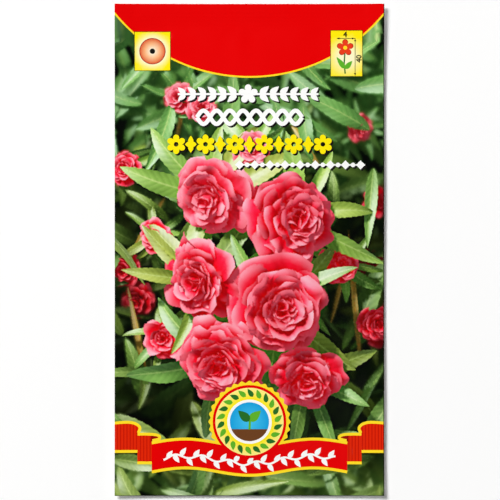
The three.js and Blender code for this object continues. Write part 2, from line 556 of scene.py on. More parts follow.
def take_picture(garden):
    """The picture's linear colours on a fine grid over the packet's front, and the place of the
    grid's lower left point."""
    xs = np.arange(-HALF_WIDTH - 1, HALF_WIDTH + 1, PICTURE_STEP)
    ys = np.arange(-HALF_HEIGHT - 1, PICTURE_TOP, PICTURE_STEP)
    across, up = np.meshgrid(xs, ys)
    triangle, height = look_down(garden.tree, across.ravel(), up.ravel())
    seen = np.flatnonzero(triangle >= 0)
    triangle = triangle[seen]
    place = np.stack([across.ravel(), up.ravel(), height], 1)[seen]
    normal, along, side = surface_at(garden, triangle, place)
    underside = normal[:, 2:] < 0
    normal = np.where(underside, -normal, normal)

    blade = garden.blades[triangle]
    marks = np.full(across.size, -1)
    marks[seen] = blade
    marks = marks.reshape(across.shape)
    sky, sun = light_at(garden, place, normal, marks, seen)
    main, edge = garden.inks[blade], garden.edge_inks[blade]
    phase, leafy = garden.phases[blade, None], garden.leafy[blade, None]
    colour = np.where(leafy, leaf_colour(along, side, main, edge, phase, underside),
                      petal_colour(along, side, main, edge, phase))
    colour = np.clip(colour, 0.002, 1)

    picture = np.empty((across.size, 3))
    picture[:] = ink(12, 26, 12)
    picture[seen] = sent_up(colour, leafy, normal, place, sky, sun)
    picture = picture.reshape(*across.shape, 3)
    share_outlines(picture, marks, garden, across, up)
    picture = developed(focused(picture, height.reshape(across.shape)))
    crisp = picture + CRISPNESS * (picture - blurred(picture, CRISP_BLUR))
    return np.clip(crisp, 0.001, 0.97), (xs[0], ys[0])


# Flat printed shapes

def turned(points, angle):
    """The points turned to the left round the origin."""
    cos, sin = math.cos(angle), math.sin(angle)
    return points @ np.array([[cos, sin], [-sin, cos]])


def points_round(x, y, reach, angle):
    return np.stack([x + reach * np.cos(angle), y + reach * np.sin(angle)], 1)


def circle(x, y, radius, sides=48, lobes=0, depth=0.0):
    """A round outline, or one with lobes that reach in from the radius by a share of depth."""
    angle = np.linspace(0, math.tau, sides, endpoint=False)
    reach = radius * (1 - depth * (0.5 - 0.5 * np.cos(lobes * angle)))
    return points_round(x, y, reach, angle)


def open_flower(x, y, radius, petals, depth=0.5):
    """The outline of round petals, one of them upright, with sharp valleys between them."""
    angle = np.linspace(0, math.tau, petals * 12, endpoint=False)
    bulge = np.abs(np.cos(petals * (angle - math.pi / 2) / 2)) ** 0.7
    reach = radius * (1 - depth * (1 - bulge))
    return points_round(x, y, reach, angle)


def box(x, y, width, height):
    """The corners of a box with its middle at a place."""
    corners = np.array([(-1, -1), (1, -1), (1, 1), (-1, 1)])
    return corners * [width / 2, height / 2] + [x, y]


def leaf_outline(x, y, heading, length, width, points=7):
    """A leaf lying flat, round at its foot and pointed at its tip."""
    along = np.linspace(0, 1, points)
    side = width / 2 * np.sin(math.pi * along**0.7) ** 0.9
    there = np.stack([along * length, side], 1)
    back = np.stack([along * length, -side], 1)[-2:0:-1]
    return turned(np.concatenate([there, back]), heading) + [x, y]


def band(path, low, high):
    """The outline between two edges, at heights low and high over a path."""
    ahead = np.gradient(path, axis=0)
    up = unit(np.stack([-ahead[:, 1], ahead[:, 0]], 1))
    return np.concatenate([path + up * low, (path + up * high)[::-1]])


def line(points, width):
    """The outline of a line of even width through the points."""
    return band(np.array(points, float), -width / 2, width / 2)


def curve_through(points, steps=6):
    """A smooth line through the points, with so many steps from each one to the next."""
    points = np.array(points, float)
    ahead = np.gradient(points, axis=0)
    s = np.linspace(0, 1, steps, endpoint=False)[:, None]
    legs = [
        (2 * s**3 - 3 * s**2 + 1) * p + (s**3 - 2 * s**2 + s) * leaving
        + (3 * s**2 - 2 * s**3) * q + (s**3 - s**2) * arriving
        for p, q, leaving, arriving in zip(points, points[1:], ahead, ahead[1:])
    ]
    return np.concatenate([*legs, points[-1:]])


def numeral_edges(text, height, x, y, turn=0.0):
    """The outlines of a plain number, as loose edges, with its middle at a place."""
    curve = bpy.data.curves.new("numeral", "FONT")
    curve.body = text
    curve.resolution_u = 3
    curve.offset = NUMERAL_WEIGHT
    holder = bpy.data.objects.new("numeral", curve)
    mesh = bpy.data.meshes.new_from_object(holder)
    spots = np.array([v.co[:2] for v in mesh.vertices])
    sides = [tuple(sorted(pair)) for face in mesh.polygons for pair in face.edge_keys]
    rim = np.array(sorted(pair for pair in set(sides) if sides.count(pair) == 1))
    low, high = spots.min(0), spots.max(0)
    spots = (spots - (low + high) / 2) * height / (high[1] - low[1])
    spots = turned(spots, turn) + [x, y]
    bpy.data.objects.remove(holder)
    bpy.data.curves.remove(curve)
    bpy.data.meshes.remove(mesh)
    return spots[rim]


class Print:
    """Flat shapes laid over a sheet one after another, each filled with an ink."""

    def __init__(self):
        self.shapes = []

    def lay(self, colour, *outlines):
        """Fills closed outlines, with what lies in two of them left open. The colour is one
        ink, or a function that gives the ink at each point."""
        edges = [np.stack([o, np.roll(o, -1, 0)], 1) for o in outlines]
        self.lay_edges(colour, np.concatenate(edges))

    def lay_edges(self, colour, edges):
        self.shapes.append((edges, colour))

    def edges(self, longest=2.5):
        """The edges of all the shapes, cut into short pieces that can follow the sheet's rise."""
        edges = np.concatenate([edges for edges, _ in self.shapes])
        lengths = np.linalg.norm(edges[:, 1] - edges[:, 0], axis=1)
        pieces = np.ceil(lengths / longest).astype(int)
        whole = np.repeat(np.arange(len(edges)), pieces)
        step = np.arange(len(whole)) - np.repeat(np.cumsum(pieces) - pieces, pieces)
        share = np.stack([step, step + 1], 1) / pieces[whole, None]
        return mix(edges[whole, :1], edges[whole, 1:], share[..., None])

    def shape_at(self, spots):
        """The number of the uppermost shape at each spot, or -1 on bare paper."""
        found = np.full(len(spots), -1)
        for number, (edges, _) in enumerate(self.shapes):
            low, high = edges.min((0, 1)), edges.max((0, 1))
            near = np.flatnonzero(((spots > low) & (spots < high)).all(1))
            x, y = spots[near].T[:, :, None]
            (ax, ay), (bx, by) = edges[:, 0].T, edges[:, 1].T
            spans = (ay > y) != (by > y)
            rise = np.where(by == ay, 1, by - ay)
            passes = spans & (x < ax + (bx - ax) * (y - ay) / rise)
            found[near[passes.sum(1) % 2 == 1]] = number
        return found

    def ink_at(self, number, spots):
        colour = self.shapes[number][1]
        return colour(spots) if callable(colour) else np.broadcast_to(colour, (len(spots), 3))


def fade(x, y, *stops):
    """An ink that changes outwards from a point: each stop is a distance and the ink there."""
    distances, inks = zip(*stops)

    def colour(spots):
        away = np.hypot(spots[:, 0] - x, spots[:, 1] - y)
        return np.stack([np.interp(away, distances, part) for part in np.transpose(inks)], 1)
    return colour


HEADER_FOOT_Y = 51.55
HEADER_RADIUS = 51.6
HEADER_HALF_CHORD = 46
RIM_WIDTH = 0.52
SUN_SIGN = (-28.8, 58.95)
SIZE_SIGN = (28.8, 58.3)
SHADOW = np.array([0.5, -0.5])
NUMERAL_WEIGHT = 0.028

RED, DEEP_RED, FLAME = ink(229, 1, 3), ink(150, 8, 6), ink(222, 38, 6)
YELLOW, GOLD, CREAM = ink(255, 234, 12), ink(255, 221, 40), ink(255, 250, 205)
PALE_YELLOW = ink(255, 242, 140)
WHITE, BLACK = ink(252, 252, 250), ink(24, 22, 20)
BACK_GROUND, INNER_PAPER = ink(243, 241, 232), ink(226, 224, 216)
SKY, LEAF, DARK_LEAF, SOIL = ink(22, 160, 222), ink(96, 178, 44), ink(40, 110, 40), ink(110, 66, 34)


def lay_header(paper, settings):
    """The header, which ends in an arc with a trim line along it."""
    inner = settings.header_radius / MM
    for radius, colour in ((inner + RIM_WIDTH, settings.trim_ink), (inner, settings.header_ink)):
        half_angle = math.asin(min(1, HEADER_HALF_CHORD / radius))
        angle = np.linspace(-half_angle, half_angle, 73)
        arc = [radius * np.sin(angle), HEADER_FOOT_Y + inner - radius * np.cos(angle)]
        top = [(side * HEADER_HALF_CHORD, HALF_HEIGHT + 3) for side in (1, -1)]
        paper.lay(colour, np.concatenate([np.stack(arc, 1), top]))


def lay_sun_sign(paper, _):
    """A sign with the sun, in a thin dark frame."""
    x, y = SUN_SIGN
    paper.lay(BLACK, box(x, y, 10.8, 11.7))
    paper.lay(fade(x, y, (3.9, CREAM), (4.8, PALE_YELLOW), (5.9, YELLOW)), box(x, y, 10.5, 11.4))
    paper.lay(DEEP_RED, circle(x, y, 3.9))
    glow = fade(x, y, (0.8, ink(254, 236, 206)), (2.2, ink(255, 186, 128)), (3.7, ink(222, 92, 52)))
    paper.lay(glow, circle(x, y, 3.7))
    paper.lay(BLACK, circle(x, y, 0.8, 20))


def lay_size_sign(paper, _):
    """A sign with a flower and its two measures, in a thin dark frame."""
    x, y = SIZE_SIGN
    paper.lay(BLACK, box(x, y, 9.6, 13.8))
    paper.lay(fade(x, y - 1, (2, CREAM), (4, PALE_YELLOW), (6.4, YELLOW)), box(x, y, 9.3, 13.5))
    quarter = math.pi / 2
    paper.lay_edges(BLACK, numeral_edges("4", 1.75, x - 0.4, y + 5.65))
    paper.lay_edges(BLACK, numeral_edges("40", 1.7, x + 3.65, y - 1.6, quarter))
    paper.lay(BLACK, box(x - 0.2, y + 4.45, 5.4, 0.18))
    paper.lay(BLACK, box(x + 2.55, y - 1.1, 0.18, 11.2))
    tips = ((x - 3, y + 4.45, 0), (x + 2.5, y + 4.45, math.pi),
            (x + 2.55, y + 4.5, -quarter), (x + 2.55, y - 6.7, quarter))
    arrow_head = np.array([(0, 0), (0.9, 0.3), (0.9, -0.3)])
    for tip_x, tip_y, heading in tips:
        paper.lay(BLACK, turned(arrow_head, heading) + [tip_x, tip_y])
    flower_x, flower_y = x - 0.4, y + 1.7
    stem = [(flower_x, flower_y), (flower_x - 0.3, y - 3), (x - 0.4, y - 6)]
    paper.lay(DARK_LEAF, line(stem, 0.4))
    for heading, length in ((2.2, 4.4), (0.85, 3.2)):
        paper.lay(LEAF, leaf_outline(x - 0.4, y - 4.6, heading, length, 1.5))
    paper.lay(DEEP_RED, open_flower(flower_x, flower_y, 2.55, 5))
    paper.lay(ink(232, 62, 30), open_flower(flower_x, flower_y, 2.35, 5))
    paper.lay(GOLD, circle(flower_x, flower_y, 0.6, 16))


def laurel(x, y, width, size):
    """Broad leaves in pairs that run out both ways from an open flower."""
    yield [open_flower(x, y, size * 0.5, 5)]
    pairs = 6
    for side in (-1, 1):
        ends = [(x + side * size * 0.4, y), (x + side * (width / 2 - 1), y)]
        yield [line(ends[::side], 0.6)]
        for number in range(pairs):
            foot = x + side * mix(size * 0.6, width / 2 - size * 0.56, number / (pairs - 1))
            for way in (-1, 1):
                heading = way * 0.72 if side > 0 else math.pi - way * 0.72
                length = size * mix(0.62, 0.52, number / (pairs - 1))
                yield [leaf_outline(foot, y, heading, length, length * 0.52)]


def daisies(x, y, width, size):
    """Open flowers in a row, with a cross of four leaves between each two."""
    flowers = 6
    pitch = (width - size) / (flowers - 1)
    for number in range(flowers):
        centre = x + (number - (flowers - 1) / 2) * pitch
        yield [open_flower(centre, y, size / 2, 6, 0.42), circle(centre, y, size * 0.12, 16)]
    for number in range(flowers - 1):
        centre = x + (number - (flowers - 2) / 2) * pitch
        for quarter in range(4):
            length = size * (0.3 if quarter % 2 == 0 else 0.44)
            yield [leaf_outline(centre, y, quarter * math.pi / 2, length, size * 0.28)]


def rope(x, y, width, size):
    """Two thick strands that wind round each other."""
    turns = 4
    place = np.linspace(-0.5, 0.5, 161)
    swing = size * 0.38 * np.sin(place * turns * math.tau)
    for way in (-1, 1):
        yield [band(np.stack([x + place * width, y + way * swing], 1), -0.62, 0.62)]


def beads(x, y, width, size):
    """A line strung with diamonds and beads by turns."""
    yield [line([(x - width / 2, y), (x + width / 2, y)], 0.4)]
    count = 17
    for number in range(count):
        place = x + (number / (count - 1) - 0.5) * (width - size * 0.9)
        radius, sides = (size * 0.45, 4) if number % 2 == 0 else (size * 0.23, 16)
        yield [circle(place, y, radius, sides)]


def lay_ornaments(paper, settings):
    """Rows of ornament over the picture, each with a dark shadow down to its right."""
    plain, accent = settings.ornament_ink, settings.accent_ink
    rows = (
        (laurel, plain, -0.4, 46.2, 43.7, 5.8),
        (rope, plain, 0, 39.3, 31.2, 5.2),
        (daisies, accent, 0, 31.3, 49.3, 5.8),
        (beads, plain, 15, 25.2, 38.6, 3.0),
    )
    for row, colour, *place in rows:
        shapes = list(row(*place))
        for shade, shift in ((BLACK, SHADOW), (colour, 0)):
            for outlines in shapes:
                paper.lay(shade, *[outline + shift for outline in outlines])


RIBBON_HALF_LENGTH = 29
RIBBON_HALF_HEIGHT = 4.75
TRIM = 0.85

# The ribbon's tail and its fold at the right end: where each starts and stops, its middle, the
# curled edge along its top from right to left, and what shows of the ribbon's other side
RIBBON_ENDS = (
    (33, 42, -55.5, [(42, -51.7), (38.5, -51.25), (35.4, -51.2), (33.4, -51.8), (32.5, -52.9),
                     (33, -54.3)], None),
    (29, 33.3, -58.9, [(33.2, -54.7), (30.5, -54.65), (28, -54.8), (26.7, -55.3), (26.9, -56.1),
                       (28.8, -56.6)], [(29.3, -54.8), (26.7, -55.3), (29.3, -57)]),
)


def ribbon_height(x):
    """The middle of the ribbon's front piece, which dips under the seal."""
    return -61.5 - 1.1 * np.cos(x * math.tau / 38)


def lay_ribbon(paper, settings):
    """A ribbon across the foot of the picture, folded back twice at each end."""
    trim, half = settings.trim_ink, RIBBON_HALF_HEIGHT - TRIM / 2
    for side in (-1, 1):
        mirror = np.array([side, 1])
        for inner, outer, middle, top, turned in RIBBON_ENDS:
            low = middle - half
            edge = curve_through(top) * mirror
            foot = np.array([(inner, low), (outer, low)]) * mirror
            paper.lay(FLAME, np.concatenate([edge, foot]))
            for stripe in np.arange(inner + 0.5, min(outer, HALF_WIDTH), 0.95):
                paper.lay(ink(196, 22, 4), box(side * stripe, middle, 0.3, 2 * half - TRIM))
            if turned:
                paper.lay(DEEP_RED, np.array(turned) * mirror)
            sole = box(side * (inner + outer) / 2, low, outer - inner, TRIM)
            paper.lay(trim, line(edge, TRIM), sole)
    x = np.linspace(-RIBBON_HALF_LENGTH, RIBBON_HALF_LENGTH, 81)
    front = np.stack([x, ribbon_height(x)], 1)
    paper.lay(settings.header_ink, np.concatenate([front - [0, half], (front + [0, half])[::-1]]))
    for edge in (-half, half):
        paper.lay(trim, band(front + [0, edge], -TRIM / 2, TRIM / 2))
    lay_vine(paper, settings.ornament_ink)


def lay_vine(paper, colour):
    """A vine along the ribbon, with a leaf on alternate sides at each step."""
    def height(x):
        return ribbon_height(x) - 0.8 + 0.6 * np.sin(x * math.tau / 8)
    x = np.linspace(-25.5, 25.5, 101)
    paper.lay(colour, band(np.stack([x, height(x)], 1), -0.3, 0.3))
    for number in range(25):
        foot_x = -25.5 + 2 * (number + 0.5)
        way = 1 if number % 2 == 0 else -1
        paper.lay(colour, leaf_outline(foot_x, height(foot_x), way * 0.95, 2.9, 1.5))


SEAL_CENTRE = (0, -50.9)


def lay_seal_edge(paper, settings):
    """The seal's scalloped edge, which goes behind the ribbon."""
    paper.lay(settings.trim_ink, circle(*SEAL_CENTRE, 12.2, 256, 32, 0.05))


def lay_seal(paper, settings):
    """The face of the seal, with a ring of leaves and a seedling under a blue sky."""
    x, y = SEAL_CENTRE
    paper.lay(settings.header_ink, circle(x, y, 10.9, 72))
    paper.lay(fade(x, y, (7, settings.accent_ink), (10, PALE_YELLOW)), circle(x, y, 10.1, 72))
    for number in range(22):
        angle = number * math.tau / 22
        foot = (x + 7.5 * math.cos(angle), y + 7.5 * math.sin(angle))
        shade = LEAF if number % 2 == 0 else DARK_LEAF
        paper.lay(shade, leaf_outline(*foot, angle + 0.75, 2.9, 1.5))
    paper.lay(WHITE, circle(x, y, 6.6, 60))
    paper.lay(fade(x, y, (1, ink(64, 192, 238)), (5.8, SKY)), circle(x, y, 5.8, 60))
    paper.lay(SOIL, points_round(x, y, 5.8, np.linspace(-2.75, -0.39, 25)))
    paper.lay(LEAF, line([(x, y - 2.3), (x + 0.1, y), (x, y + 1.2)], 0.7))
    for heading, shade in ((0.75, LEAF), (math.pi - 0.75, DARK_LEAF)):
        paper.lay(shade, leaf_outline(x, y + 0.2, heading, 4.6, 2.6, 11))


def front_print(settings):
    """Everything over the picture, with a painted shadow: a dark line along the right edge and the
    foot.
    """
    paper = Print()
    for lay in (lay_header, lay_sun_sign, lay_size_sign, lay_ornaments, lay_seal_edge, lay_ribbon,
                lay_seal):
        lay(paper, settings)
    # Painted shadow: these dark lines along the right edge and the foot stand in for the packet's
    # shadow on the table there.
    paper.lay(BLACK, box(HALF_WIDTH, 0, 0.5, 2 * HALF_HEIGHT + 2))
    paper.lay(BLACK, box(0, -HALF_HEIGHT, 2 * HALF_WIDTH + 2, 0.28))
    return paper


def back_print(settings):
    """A plain sowing chart: twelve months in numbers, and a coloured bar for each job. It is
    turned over in X, because it is read from below."""
    paper = Print()
    paper.lay(settings.header_ink, box(0, 59, 66, 9))
    paper.lay(settings.trim_ink, box(0, 53.8, 66, 0.8))
    left, cell = -31.2, 5.2
    for number in range(12):
        x = -(left + cell * (number + 0.5))
        edges = numeral_edges(str(number + 1), 2.1, 0, 0)
        paper.lay_edges(BLACK, edges * [-1, 1] + [x, 44])
    jobs = ((40, 2, 4, LEAF), (35, 4, 5, GOLD), (30, 5, 9, ink(232, 62, 88)))
    for y, first, last, colour in jobs:
        for number in range(12):
            x = -(left + cell * (number + 0.5))
            paper.lay(ink(224, 222, 212), box(x, y, cell - 0.5, 3.6))
            if first <= number <= last:
                paper.lay(colour, box(x, y, cell, 3.0))
    for number in range(11):
        paper.lay(ink(150, 148, 140), box(0, 20 - 5 * number, 62, 0.25))
    for x, colour in ((-22, ink(236, 130, 40)), (0, SKY), (22, SOIL)):
        paper.lay(BLACK, box(x, -47, 12.4, 12.4))
        paper.lay(fade(x, -47, (4, WHITE), (8, YELLOW)), box(x, -47, 12, 12))
        paper.lay(colour, circle(x, -47, 3.6))
    paper.lay(settings.header_ink, box(0, -61, 66, 6))
    return paper


# The sheets

# How many corners hold the picture's colours, and their share of its grid where it is plainest
SPOT_COUNT = 87500
PLAIN_SHARE = 0.035

# How far apart corners stand: round the front's rim, on the printed back, and on bare faces
FRONT_RIM_STEP = 0.6
BACK_STEP = 1.6
BARE_STEP = 3.2


def bond_height(x, y):
    """Height of the bond between the two sheets, which the seals keep all round the edge."""
    towards_side = np.abs(x) / HALF_WIDTH
    towards_end = np.abs(y) / HALF_HEIGHT
    curl = CORNER_LIFT * towards_side**3 * towards_end**4
    wave = EDGE_WAVE * towards_side**2 * np.sin(math.tau * y / EDGE_WAVE_LENGTH)
    return SEAL_HEIGHT + curl + wave


def front_bulge(x, y):
    """How far the front sheet stands over the bond."""
    quarter_sine = lambda share: np.sin(np.clip(share, 0, 1) * math.pi / 2)
    across = np.clip(1 - (x / BELLY_HALF_WIDTH) ** 2, 0, 1)
    up = quarter_sine((y + BELLY_HALF_HEIGHT) / LOWER_RAMP)
    down = quarter_sine((BELLY_HALF_HEIGHT - y) / UPPER_RAMP)
    return FRONT_RISE * across * up * down


def back_settled(x, y):
    """0 on the seals and 1 where the back sheet lies on the table."""
    across = smooth(0, 1, (BELLY_HALF_WIDTH - np.abs(x)) / BACK_RAMP)
    along = smooth(0, 1, (BELLY_HALF_HEIGHT - np.abs(y)) / BACK_RAMP)
    return across * along


def puckers(x, y):
    """Shallow gathers that run in from the seals, where flat paper is drawn over the belly."""
    inward_x = np.clip(BELLY_HALF_WIDTH - np.abs(x), 0, None)
    inward_y = np.clip(BELLY_HALF_HEIGHT - np.abs(y), 0, None)
    along_side = np.sin(y * 0.52 + np.sin(y * 0.19) * 2 + np.sign(x) * 1.3)
    along_end = np.sin(x * 0.47 + np.sin(x * 0.23 + y * 0.01) * 2)
    from_side = along_side * smooth(0, 2.5, inward_x) * np.exp(-inward_x / 7)
    from_end = along_end * smooth(0, 2.5, inward_y) * np.exp(-inward_y / 9)
    return -0.05 * (1 + from_side) * (inward_x > 0) - 0.05 * from_end * (inward_y > 0) + 0.05


def front_top(x, y):
    return bond_height(x, y) + front_bulge(x, y) + SHEET_THICKNESS + puckers(x, y)


def front_low(x, y):
    return bond_height(x, y) + front_bulge(x, y) + 0.01


def back_top(x, y):
    return back_low(x, y) + SHEET_THICKNESS - 0.01


def back_low(x, y):
    return (bond_height(x, y) - SHEET_THICKNESS) * (1 - back_settled(x, y))


def rim_place(spots):
    """How far round the packet's edge each spot lies, from its lower left corner."""
    x, y = spots[:, 0] + HALF_WIDTH, spots[:, 1] + HALF_HEIGHT
    width, height = 2 * HALF_WIDTH, 2 * HALF_HEIGHT
    return np.select(
        [y < HAIR, x > width - HAIR, y > height - HAIR],
        [x, width + y, width + height + width - x],
        2 * width + height + height - y,
    )


def rim_order(spots):
    """The numbers of the spots on the packet's edge, in order round it."""
    on_rim = (np.abs(spots) > [HALF_WIDTH - HAIR, HALF_HEIGHT - HAIR]).any(1)
    rim = np.flatnonzero(on_rim)
    return rim[np.argsort(rim_place(spots[rim]))]


def rim_loop(spacing):
    """Spots round the packet's edge, about so far apart."""
    corners = box(0, 0, 2 * HALF_WIDTH, 2 * HALF_HEIGHT)
    sides = []
    for start, end in zip(corners, np.roll(corners, -1, 0)):
        count = round(np.abs(end - start).max() / spacing)
        sides.append(start + (end - start) * (np.arange(count) / count)[:, None])
    return np.concatenate(sides)


def loop_edges(count, first=0):
    return [(first + i, first + (i + 1) % count) for i in range(count)]


def triangulate(loop, spots, edges=None):
    """Triangles over the packet, with the loop, the spots and the edges as their corners and
    sides. Returns the corners' places and each triangle's three corners, turned to the left."""
    points = [loop, spots]
    pairs = loop_edges(len(loop))
    if edges is not None:
        first = len(loop) + len(spots)
        points.append(edges.reshape(-1, 2))
        pairs += [(first + 2 * i, first + 2 * i + 1) for i in range(len(edges))]
    whole = np.round(np.concatenate(points), 5) + 0.0
    found = delaunay_2d_cdt([Vector(p) for p in whole.tolist()], pairs, [], 0, 1e-5)
    corners = np.array([v[:] for v in found[0]])
    triangles = np.array(found[2])
    middle = corners[triangles].mean(1)
    within = (np.abs(middle) < [HALF_WIDTH, HALF_HEIGHT]).all(1)
    triangles = triangles[within]
    used, triangles = np.unique(triangles, return_inverse=True)
    return corners[used], triangles.reshape(-1, 3)


def inner_grid(spacing):
    """An even grid of spots inside the packet's edge."""
    xs = np.arange(-HALF_WIDTH + spacing / 2, HALF_WIDTH, spacing)
    ys = np.arange(-HALF_HEIGHT + spacing / 2, HALF_HEIGHT, spacing)
    return np.stack(np.meshgrid(xs, ys), -1).reshape(-1, 2)


def scattered(density):
    """Marks grid places so that they lie as thick as the density says: what a place has over or
    short of a whole mark is handed on to the places after it."""
    rows = [row.tolist() + [0.0, 0.0] for row in density]
    rows.append([0.0] * len(rows[0]))
    marks = np.zeros(density.shape, bool)
    width = density.shape[1]
    for j in range(density.shape[0]):
        row, below = rows[j], rows[j + 1]
        for i in range(width):
            value = row[i]
            if value > 0.5:
                marks[j, i] = True
                value -= 1
            row[i + 1] += value * (7 / 16)
            below[i - 1] += value * (3 / 16)
            below[i] += value * (5 / 16)
            below[i + 1] += value * (1 / 16)
    return marks


def picture_spots(picture, corner, paper):
    """Places to take the picture's colour at, closest together where it is busiest."""
    missing = round((HALF_HEIGHT - PICTURE_TOP) / PICTURE_STEP)
    grey = np.sqrt(picture @ np.array([0.35, 0.5, 0.15]))
    busy = blurred(np.abs(grey - blurred(grey, 1.5)), 0.8)
    busy = np.pad(busy, ((0, missing), (0, 0)))
    j, i = np.indices(busy.shape)
    spots = np.stack([i, j], -1) * PICTURE_STEP + corner
    covered = paper.shape_at(spots.reshape(-1, 2)).reshape(busy.shape) >= 0
    beyond = (np.abs(spots) > [HALF_WIDTH - 0.12, HALF_HEIGHT - 0.12]).any(-1)
    busy = np.where(covered, 0, busy)
    low, high = 0.0, 1000.0
    for _ in range(30):
        gain = (low + high) / 2
        density = np.where(beyond, 0, np.clip(gain * busy, PLAIN_SHARE, 1))
        low, high = (gain, high) if density.sum() < SPOT_COUNT else (low, gain)
    spots = spots[scattered(density) & ~beyond]
    return spots + np.random.default_rng(5).uniform(-0.01, 0.01, spots.shape)


def look_up(picture, corner, spots):
    """The picture's colour at each spot, from the four pixels round it."""
    place = (spots - corner) / PICTURE_STEP
    rows, columns = picture.shape[:2]
    x = np.clip(place[:, 0], 0, columns - 1.001)
    y = np.clip(place[:, 1], 0, rows - 1.001)
    i, j = x.astype(int), y.astype(int)
    right, up = (x - i)[:, None], (y - j)[:, None]
    low = mix(picture[j, i], picture[j, i + 1], right)
    high = mix(picture[j + 1, i], picture[j + 1, i + 1], right)
    return mix(low, high, up)


def bake_map(flat, printed_faces, bare_faces, rim_count):
    """Where each face's corners lie on a baked image: the printed face over most of it, the
    bare face in a strip below, and the rim in a thin line between them."""
    share = flat / [2 * HALF_WIDTH, 2 * HALF_HEIGHT] + 0.5
    start = np.arange(rim_count) / rim_count
    end = start + 1 / rim_count
    low, high = np.full(rim_count, 0.1), np.full(rim_count, 0.12)
    walls = [np.stack([start, low, end, low, end, high], 1),
             np.stack([start, low, end, high, start, high], 1)]
    return [share[printed_faces] * [1, 0.87] + [0, 0.13], share[bare_faces] * [1, 0.09],
            np.concatenate(walls).reshape(-1, 3, 2)]


def build_sheet(name, print_height, bare_height, printed, inks, print_up):
    """A closed sheet: a printed face, a bare face and a rim of cut paper.

    printed is the printed face's corners and triangles; inks has a colour for each corner of
    each triangle."""
    corners, triangles = printed
    rim = rim_order(corners)
    bare_corners, bare_triangles = triangulate(corners[rim], inner_grid(BARE_STEP))
    bare_rim = rim_order(bare_corners) + len(corners)
    bare_triangles = bare_triangles + len(corners)
    next_rim, next_bare = np.roll(rim, -1), np.roll(bare_rim, -1)
    walls = np.concatenate([np.stack([bare_rim, next_bare, next_rim], 1),
                            np.stack([bare_rim, next_rim, rim], 1)])
    flat = np.concatenate([corners, bare_corners])
    height = np.concatenate([print_height(*corners.T), bare_height(*bare_corners.T)])
    faces = [triangles, bare_triangles[:, ::-1], walls]
    spread = bake_map(flat, *faces[:2], len(rim))
    if not print_up:
        faces = [side[:, ::-1] for side in faces]
        spread = [side[:, ::-1] for side in spread]
        inks = inks[:, ::-1]

    mesh = bpy.data.meshes.new(name)
    points = np.column_stack([flat, height]) * MM
    mesh.from_pydata(points.tolist(), [], np.concatenate(faces).tolist())
    slots = np.ones(len(mesh.polygons), np.int32)
    slots[: len(triangles)] = 0
    mesh.polygons.foreach_set("material_index", slots)
    mesh.polygons.foreach_set("use_smooth", np.ones(len(mesh.polygons), bool))
    mesh.set_sharp_from_angle(angle=math.radians(50))

    colours = np.ones((len(mesh.loops), 4), np.float32)
    colours[: inks.size // 3, :3] = inks.reshape(-1, 3)
    attribute = mesh.color_attributes.new("ink", "FLOAT_COLOR", "CORNER")
    attribute.data.foreach_set("color", colours.ravel())
    mesh.color_attributes.active_color = attribute
    layer = mesh.uv_layers.new(name="OFBake")
    layer.uv.foreach_set("vector", np.concatenate(spread).astype(np.float32).ravel())
    return new_object(name, mesh)


# Finishes

FILM_ROUGHNESS = 0.25


def node_group(name, inputs, outputs):
    """A new shader node group with its sockets: name and default of each input, and the kind
    and name of each output. Returns the group and its two end nodes."""
    group = bpy.data.node_groups.new(name, "ShaderNodeTree")
    for label, default in inputs:
        kind = "NodeSocketColor" if isinstance(default, tuple) else "NodeSocketFloat"
        group.interface.new_socket(label, in_out="INPUT", socket_type=kind).default_value = default
    for kind, label in outputs:
        group.interface.new_socket(label, in_out="OUTPUT", socket_type=kind)
    return group, group.nodes.new("NodeGroupInput"), group.nodes.new("NodeGroupOutput")


def add(tree, kind, links=(), **settings):
    """A new node with its settings, and with links into its inputs by name or number."""
    node = tree.nodes.new(kind)
    for label, value in settings.items():
        setattr(node, label, value)
    for socket, source in dict(links).items():
        if isinstance(source, bpy.types.NodeSocket):
            tree.links.new(source, node.inputs[socket])
        else:
            node.inputs[socket].default_value = source
    return node


def maths(tree, operation, *values):
    return add(tree, "ShaderNodeMath", enumerate(values), operation=operation).outputs[0]


def noise(tree, place, scale, detail=3.0):
    links = {"Vector": place, "Scale": scale, "Detail": detail}
    return add(tree, "ShaderNodeTexNoise", links).outputs["Fac"]


def object_place(tree):
    return add(tree, "ShaderNodeTexCoord").outputs["Object"]


def varied(tree, base, amount, value, middle=0.5):
    """The base, varied by so much of the value's distance from its middle."""
    return maths(tree, "MULTIPLY_ADD", maths(tree, "SUBTRACT", value, middle), amount, base)


def pass_shaded(group, start, end, label, value):
    """Passes a colour through the group, made brighter or darker by the value."""
    shade = add(group, "ShaderNodeHueSaturation", {"Value": value, "Color": start.outputs[label]})
    group.links.new(shade.outputs[0], end.inputs[label])


def mottle_group():
    """Printed ink isn't quite even: patches of a few millimetres and a fine grain."""
    group, start, end = node_group(
        "Ink mottle", [("Ink", (1, 1, 1, 1)), ("Patches", 0.025), ("Grain", 0.035)],
        [("NodeSocketColor", "Ink")],
    )
    place = object_place(group)
    value = varied(group, 1.0, start.outputs["Patches"], noise(group, place, 160.0))
    value = varied(group, value, start.outputs["Grain"], noise(group, place, 4200.0, 1.0))
    pass_shaded(group, start, end, "Ink", value)
    return group


def film_group():
    """A clear film over the ink: it varies a little in gloss and has a faint orange peel."""
    group, start, end = node_group(
        "Laminate film", [("Roughness", 0.3), ("Spread", 0.08), ("Peel", 1.0)],
        [("NodeSocketFloat", "Roughness"), ("NodeSocketFloat", "Height")],
    )
    place = object_place(group)
    rough = varied(group, start.outputs["Roughness"], start.outputs["Spread"],
                   noise(group, place, 90.0))
    peel = maths(group, "MULTIPLY", noise(group, place, 700.0, 2.0), start.outputs["Peel"])
    group.links.new(rough, end.inputs["Roughness"])
    group.links.new(peel, end.inputs["Height"])
    return group


